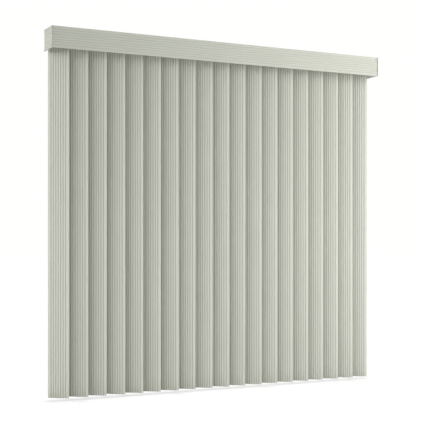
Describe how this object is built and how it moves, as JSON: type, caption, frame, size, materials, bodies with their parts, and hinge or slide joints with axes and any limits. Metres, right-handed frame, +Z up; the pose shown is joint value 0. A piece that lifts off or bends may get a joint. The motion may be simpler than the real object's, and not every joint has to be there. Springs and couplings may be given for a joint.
{
  "type": "vertical blind",
  "caption": "Vertical blind with ribbed rigid vanes that tilt and draw aside on carriers in a ceiling headrail, behind a ribbed valance with returns.",
  "frame": {"origin": "in the ceiling plane, on the top face of the middle bracket, over the middle of the row of vane stems", "axes": "+X along the headrail to the right as seen from the room, -Y towards the room, +Z up"},
  "size_m": [1.5708, 0.1185, 1.49],
  "materials": {
    "sage_ribbed": "ribbed satin PVC",
    "sage_edge": "plain satin PVC",
    "ivory_enamel": "stove enamel",
    "ivory_plastic": "moulded",
    "white_acetal": "moulded",
    "bare_aluminium": "drawn",
    "zinc_steel": "zinc plated"
  },
  "bodies": {
    "headrail_assembly": {"headrail": "ivory_enamel", "control_end_cap": "ivory_plastic", "idle_end_cap": "ivory_plastic", "end_cap_screws": "zinc_steel", "bracket_left": "zinc_steel", "bracket_centre": "zinc_steel", "bracket_right": "zinc_steel", "valance_clips": "white_acetal", "valance_front_channel": "sage_edge", "valance_front_insert": "sage_ribbed", "valance_corner_left": "sage_edge", "valance_corner_right": "sage_edge", "valance_return_channel_left": "sage_edge", "valance_return_channel_right": "sage_edge", "valance_return_insert_left": "sage_ribbed", "valance_return_insert_right": "sage_ribbed", "carrier_01": "white_acetal"},
    "tilt_shaft": {"tilt_rod": "bare_aluminium", "chain_sprocket": "white_acetal"},
    "cord_pulley_front": {"cord_pulley_front": "white_acetal"},
    "cord_pulley_rear": {"cord_pulley_rear": "white_acetal"},
    "return_pulley": {"return_pulley": "white_acetal"},
    "carrier_02": {"carrier_02": "white_acetal"},
    "carrier_03": {"carrier_03": "white_acetal"},
    "carrier_04": {"carrier_04": "white_acetal"},
    "carrier_05": {"carrier_05": "white_acetal"},
    "carrier_06": {"carrier_06": "white_acetal"},
    "carrier_07": {"carrier_07": "white_acetal"},
    "carrier_08": {"carrier_08": "white_acetal"},
    "carrier_09": {"carrier_09": "white_acetal"},
    "carrier_10": {"carrier_10": "white_acetal"},
    "carrier_11": {"carrier_11": "white_acetal"},
    "carrier_12": {"carrier_12": "white_acetal"},
    "carrier_13": {"carrier_13": "white_acetal"},
    "carrier_14": {"carrier_14": "white_acetal"},
    "carrier_15": {"carrier_15": "white_acetal"},
    "carrier_16": {"carrier_16": "white_acetal"},
    "carrier_17": {"carrier_17": "white_acetal"},
    "carrier_18": {"carrier_18": "white_acetal"},
    "carrier_19": {"carrier_19": "white_acetal"},
    "vane_01": {"vane_01": "sage_ribbed"},
    "vane_02": {"vane_02": "sage_ribbed"},
    "vane_03": {"vane_03": "sage_ribbed"},
    "vane_04": {"vane_04": "sage_ribbed"},
    "vane_05": {"vane_05": "sage_ribbed"},
    "vane_06": {"vane_06": "sage_ribbed"},
    "vane_07": {"vane_07": "sage_ribbed"},
    "vane_08": {"vane_08": "sage_ribbed"},
    "vane_09": {"vane_09": "sage_ribbed"},
    "vane_10": {"vane_10": "sage_ribbed"},
    "vane_11": {"vane_11": "sage_ribbed"},
    "vane_12": {"vane_12": "sage_ribbed"},
    "vane_13": {"vane_13": "sage_ribbed"},
    "vane_14": {"vane_14": "sage_ribbed"},
    "vane_15": {"vane_15": "sage_ribbed"},
    "vane_16": {"vane_16": "sage_ribbed"},
    "vane_17": {"vane_17": "sage_ribbed"},
    "vane_18": {"vane_18": "sage_ribbed"},
    "vane_19": {"vane_19": "sage_ribbed"}
  },
  "joints": [
    {"name": "vane_01_tilt", "type": "hinge", "parent": "headrail_assembly", "child": "vane_01", "pos_m": [-0.729, 0, -0.04], "axis": [0, 0, 1], "range_deg": [-129, 21]},
    {"name": "vane_02_tilt", "type": "hinge", "parent": "carrier_02", "child": "vane_02", "pos_m": [-0.648, 0, -0.04], "axis": [0, 0, 1], "range_deg": [-129, 21]},
    {"name": "vane_03_tilt", "type": "hinge", "parent": "carrier_03", "child": "vane_03", "pos_m": [-0.567, 0, -0.04], "axis": [0, 0, 1], "range_deg": [-129, 21]},
    {"name": "vane_04_tilt", "type": "hinge", "parent": "carrier_04", "child": "vane_04", "pos_m": [-0.486, 0, -0.04], "axis": [0, 0, 1], "range_deg": [-129, 21]},
    {"name": "vane_05_tilt", "type": "hinge", "parent": "carrier_05", "child": "vane_05", "pos_m": [-0.405, 0, -0.04], "axis": [0, 0, 1], "range_deg": [-129, 21]},
    {"name": "vane_06_tilt", "type": "hinge", "parent": "carrier_06", "child": "vane_06", "pos_m": [-0.324, 0, -0.04], "axis": [0, 0, 1], "range_deg": [-129, 21]},
    {"name": "vane_07_tilt", "type": "hinge", "parent": "carrier_07", "child": "vane_07", "pos_m": [-0.243, 0, -0.04], "axis": [0, 0, 1], "range_deg": [-129, 21]},
    {"name": "vane_08_tilt", "type": "hinge", "parent": "carrier_08", "child": "vane_08", "pos_m": [-0.162, 0, -0.04], "axis": [0, 0, 1], "range_deg": [-129, 21]},
    {"name": "vane_09_tilt", "type": "hinge", "parent": "carrier_09", "child": "vane_09", "pos_m": [-0.081, 0, -0.04], "axis": [0, 0, 1], "range_deg": [-129, 21]},
    {"name": "vane_10_tilt", "type": "hinge", "parent": "carrier_10", "child": "vane_10", "pos_m": [0, 0, -0.04], "axis": [0, 0, 1], "range_deg": [-129, 21]},
    {"name": "vane_11_tilt", "type": "hinge", "parent": "carrier_11", "child": "vane_11", "pos_m": [0.081, 0, -0.04], "axis": [0, 0, 1], "range_deg": [-129, 21]},
    {"name": "vane_12_tilt", "type": "hinge", "parent": "carrier_12", "child": "vane_12", "pos_m": [0.162, 0, -0.04], "axis": [0, 0, 1], "range_deg": [-129, 21]},
    {"name": "vane_13_tilt", "type": "hinge", "parent": "carrier_13", "child": "vane_13", "pos_m": [0.243, 0, -0.04], "axis": [0, 0, 1], "range_deg": [-129, 21]},
    {"name": "vane_14_tilt", "type": "hinge", "parent": "carrier_14", "child": "vane_14", "pos_m": [0.324, 0, -0.04], "axis": [0, 0, 1], "range_deg": [-129, 21]},
    {"name": "vane_15_tilt", "type": "hinge", "parent": "carrier_15", "child": "vane_15", "pos_m": [0.405, 0, -0.04], "axis": [0, 0, 1], "range_deg": [-129, 21]},
    {"name": "vane_16_tilt", "type": "hinge", "parent": "carrier_16", "child": "vane_16", "pos_m": [0.486, 0, -0.04], "axis": [0, 0, 1], "range_deg": [-129, 21]},
    {"name": "vane_17_tilt", "type": "hinge", "parent": "carrier_17", "child": "vane_17", "pos_m": [0.567, 0, -0.04], "axis": [0, 0, 1], "range_deg": [-129, 21]},
    {"name": "vane_18_tilt", "type": "hinge", "parent": "carrier_18", "child": "vane_18", "pos_m": [0.648, 0, -0.04], "axis": [0, 0, 1], "range_deg": [-129, 21]},
    {"name": "vane_19_tilt", "type": "hinge", "parent": "carrier_19", "child": "vane_19", "pos_m": [0.729, 0, -0.04], "axis": [0, 0, 1], "range_deg": [-129, 21]},
    {"name": "tilt_shaft_turn", "type": "hinge", "parent": "headrail_assembly", "child": "tilt_shaft", "pos_m": [0, 0.01, -0.0207], "axis": [1, 0, 0], "range_deg": [-1548, 252]},
    {"name": "carrier_19_traverse", "type": "slide", "parent": "headrail_assembly", "child": "carrier_19", "axis": [-1, 0, 0], "range_m": [0, 1.152]},
    {"name": "carrier_18_traverse", "type": "slide", "parent": "headrail_assembly", "child": "carrier_18", "axis": [-1, 0, 0], "range_m": [0, 1.0881]},
    {"name": "carrier_17_traverse", "type": "slide", "parent": "headrail_assembly", "child": "carrier_17", "axis": [-1, 0, 0], "range_m": [0, 1.0241]},
    {"name": "carrier_16_traverse", "type": "slide", "parent": "headrail_assembly", "child": "carrier_16", "axis": [-1, 0, 0], "range_m": [0, 0.9601]},
    {"name": "carrier_15_traverse", "type": "slide", "parent": "headrail_assembly", "child": "carrier_15", "axis": [-1, 0, 0], "range_m": [0, 0.8961]},
    {"name": "carrier_14_traverse", "type": "slide", "parent": "headrail_assembly", "child": "carrier_14", "axis": [-1, 0, 0], "range_m": [0, 0.8321]},
    {"name": "carrier_13_traverse", "type": "slide", "parent": "headrail_assembly", "child": "carrier_13", "axis": [-1, 0, 0], "range_m": [0, 0.7681]},
    {"name": "carrier_12_traverse", "type": "slide", "parent": "headrail_assembly", "child": "carrier_12", "axis": [-1, 0, 0], "range_m": [0, 0.7041]},
    {"name": "carrier_11_traverse", "type": "slide", "parent": "headrail_assembly", "child": "carrier_11", "axis": [-1, 0, 0], "range_m": [0, 0.6401]},
    {"name": "carrier_10_traverse", "type": "slide", "parent": "headrail_assembly", "child": "carrier_10", "axis": [-1, 0, 0], "range_m": [0, 0.5761]},
    {"name": "carrier_09_traverse", "type": "slide", "parent": "headrail_assembly", "child": "carrier_09", "axis": [-1, 0, 0], "range_m": [0, 0.5121]},
    {"name": "carrier_08_traverse", "type": "slide", "parent": "headrail_assembly", "child": "carrier_08", "axis": [-1, 0, 0], "range_m": [0, 0.4481]},
    {"name": "carrier_07_traverse", "type": "slide", "parent": "headrail_assembly", "child": "carrier_07", "axis": [-1, 0, 0], "range_m": [0, 0.3841]},
    {"name": "carrier_06_traverse", "type": "slide", "parent": "headrail_assembly", "child": "carrier_06", "axis": [-1, 0, 0], "range_m": [0, 0.3201]},
    {"name": "carrier_05_traverse", "type": "slide", "parent": "headrail_assembly", "child": "carrier_05", "axis": [-1, 0, 0], "range_m": [0, 0.2561]},
    {"name": "carrier_04_traverse", "type": "slide", "parent": "headrail_assembly", "child": "carrier_04", "axis": [-1, 0, 0], "range_m": [0, 0.1921]},
    {"name": "carrier_03_traverse", "type": "slide", "parent": "headrail_assembly", "child": "carrier_03", "axis": [-1, 0, 0], "range_m": [0, 0.1281]},
    {"name": "carrier_02_traverse", "type": "slide", "parent": "headrail_assembly", "child": "carrier_02", "axis": [-1, 0, 0], "range_m": [0, 0.0641]},
    {"name": "cord_pulley_front_turn", "type": "hinge", "parent": "headrail_assembly", "child": "cord_pulley_front", "pos_m": [-0.767, -0.019, -0.0255], "axis": [0, 1, 0], "range_deg": [0, 15720]},
    {"name": "cord_pulley_rear_turn", "type": "hinge", "parent": "headrail_assembly", "child": "cord_pulley_rear", "pos_m": [-0.767, -0.0106, -0.0255], "axis": [0, 1, 0], "range_deg": [-15720, 0]},
    {"name": "return_pulley_turn", "type": "hinge", "parent": "headrail_assembly", "child": "return_pulley", "pos_m": [0.767, -0.0148, -0.0207], "axis": [0, 0, 1], "range_deg": [0, 15720]}
  ],
  "couplings": [
    {"joint": "vane_02_tilt", "follows": "vane_01_tilt", "ratio": 1},
    {"joint": "vane_03_tilt", "follows": "vane_01_tilt", "ratio": 1},
    {"joint": "vane_04_tilt", "follows": "vane_01_tilt", "ratio": 1},
    {"joint": "vane_05_tilt", "follows": "vane_01_tilt", "ratio": 1},
    {"joint": "vane_06_tilt", "follows": "vane_01_tilt", "ratio": 1},
    {"joint": "vane_07_tilt", "follows": "vane_01_tilt", "ratio": 1},
    {"joint": "vane_08_tilt", "follows": "vane_01_tilt", "ratio": 1},
    {"joint": "vane_09_tilt", "follows": "vane_01_tilt", "ratio": 1},
    {"joint": "vane_10_tilt", "follows": "vane_01_tilt", "ratio": 1},
    {"joint": "vane_11_tilt", "follows": "vane_01_tilt", "ratio": 1},
    {"joint": "vane_12_tilt", "follows": "vane_01_tilt", "ratio": 1},
    {"joint": "vane_13_tilt", "follows": "vane_01_tilt", "ratio": 1},
    {"joint": "vane_14_tilt", "follows": "vane_01_tilt", "ratio": 1},
    {"joint": "vane_15_tilt", "follows": "vane_01_tilt", "ratio": 1},
    {"joint": "vane_16_tilt", "follows": "vane_01_tilt", "ratio": 1},
    {"joint": "vane_17_tilt", "follows": "vane_01_tilt", "ratio": 1},
    {"joint": "vane_18_tilt", "follows": "vane_01_tilt", "ratio": 1},
    {"joint": "vane_19_tilt", "follows": "vane_01_tilt", "ratio": 1},
    {"joint": "tilt_shaft_turn", "follows": "vane_01_tilt", "ratio": 12},
    {"joint": "carrier_18_traverse", "follows": "carrier_19_traverse", "ratio": 0.94444},
    {"joint": "carrier_17_traverse", "follows": "carrier_19_traverse", "ratio": 0.88889},
    {"joint": "carrier_16_traverse", "follows": "carrier_19_traverse", "ratio": 0.83333},
    {"joint": "carrier_15_traverse", "follows": "carrier_19_traverse", "ratio": 0.77778},
    {"joint": "carrier_14_traverse", "follows": "carrier_19_traverse", "ratio": 0.72222},
    {"joint": "carrier_13_traverse", "follows": "carrier_19_traverse", "ratio": 0.66667},
    {"joint": "carrier_12_traverse", "follows": "carrier_19_traverse", "ratio": 0.61111},
    {"joint": "carrier_11_traverse", "follows": "carrier_19_traverse", "ratio": 0.55556},
    {"joint": "carrier_10_traverse", "follows": "carrier_19_traverse", "ratio": 0.5},
    {"joint": "carrier_09_traverse", "follows": "carrier_19_traverse", "ratio": 0.44444},
    {"joint": "carrier_08_traverse", "follows": "carrier_19_traverse", "ratio": 0.38889},
    {"joint": "carrier_07_traverse", "follows": "carrier_19_traverse", "ratio": 0.33333},
    {"joint": "carrier_06_traverse", "follows": "carrier_19_traverse", "ratio": 0.27778},
    {"joint": "carrier_05_traverse", "follows": "carrier_19_traverse", "ratio": 0.22222},
    {"joint": "carrier_04_traverse", "follows": "carrier_19_traverse", "ratio": 0.16667},
    {"joint": "carrier_03_traverse", "follows": "carrier_19_traverse", "ratio": 0.11111},
    {"joint": "carrier_02_traverse", "follows": "carrier_19_traverse", "ratio": 0.055556},
    {"joint": "cord_pulley_front_turn", "follows": "carrier_19_traverse", "rad_per_m": 238.1},
    {"joint": "cord_pulley_rear_turn", "follows": "carrier_19_traverse", "rad_per_m": -238.1},
    {"joint": "return_pulley_turn", "follows": "carrier_19_traverse", "rad_per_m": 238.1}
  ]
}
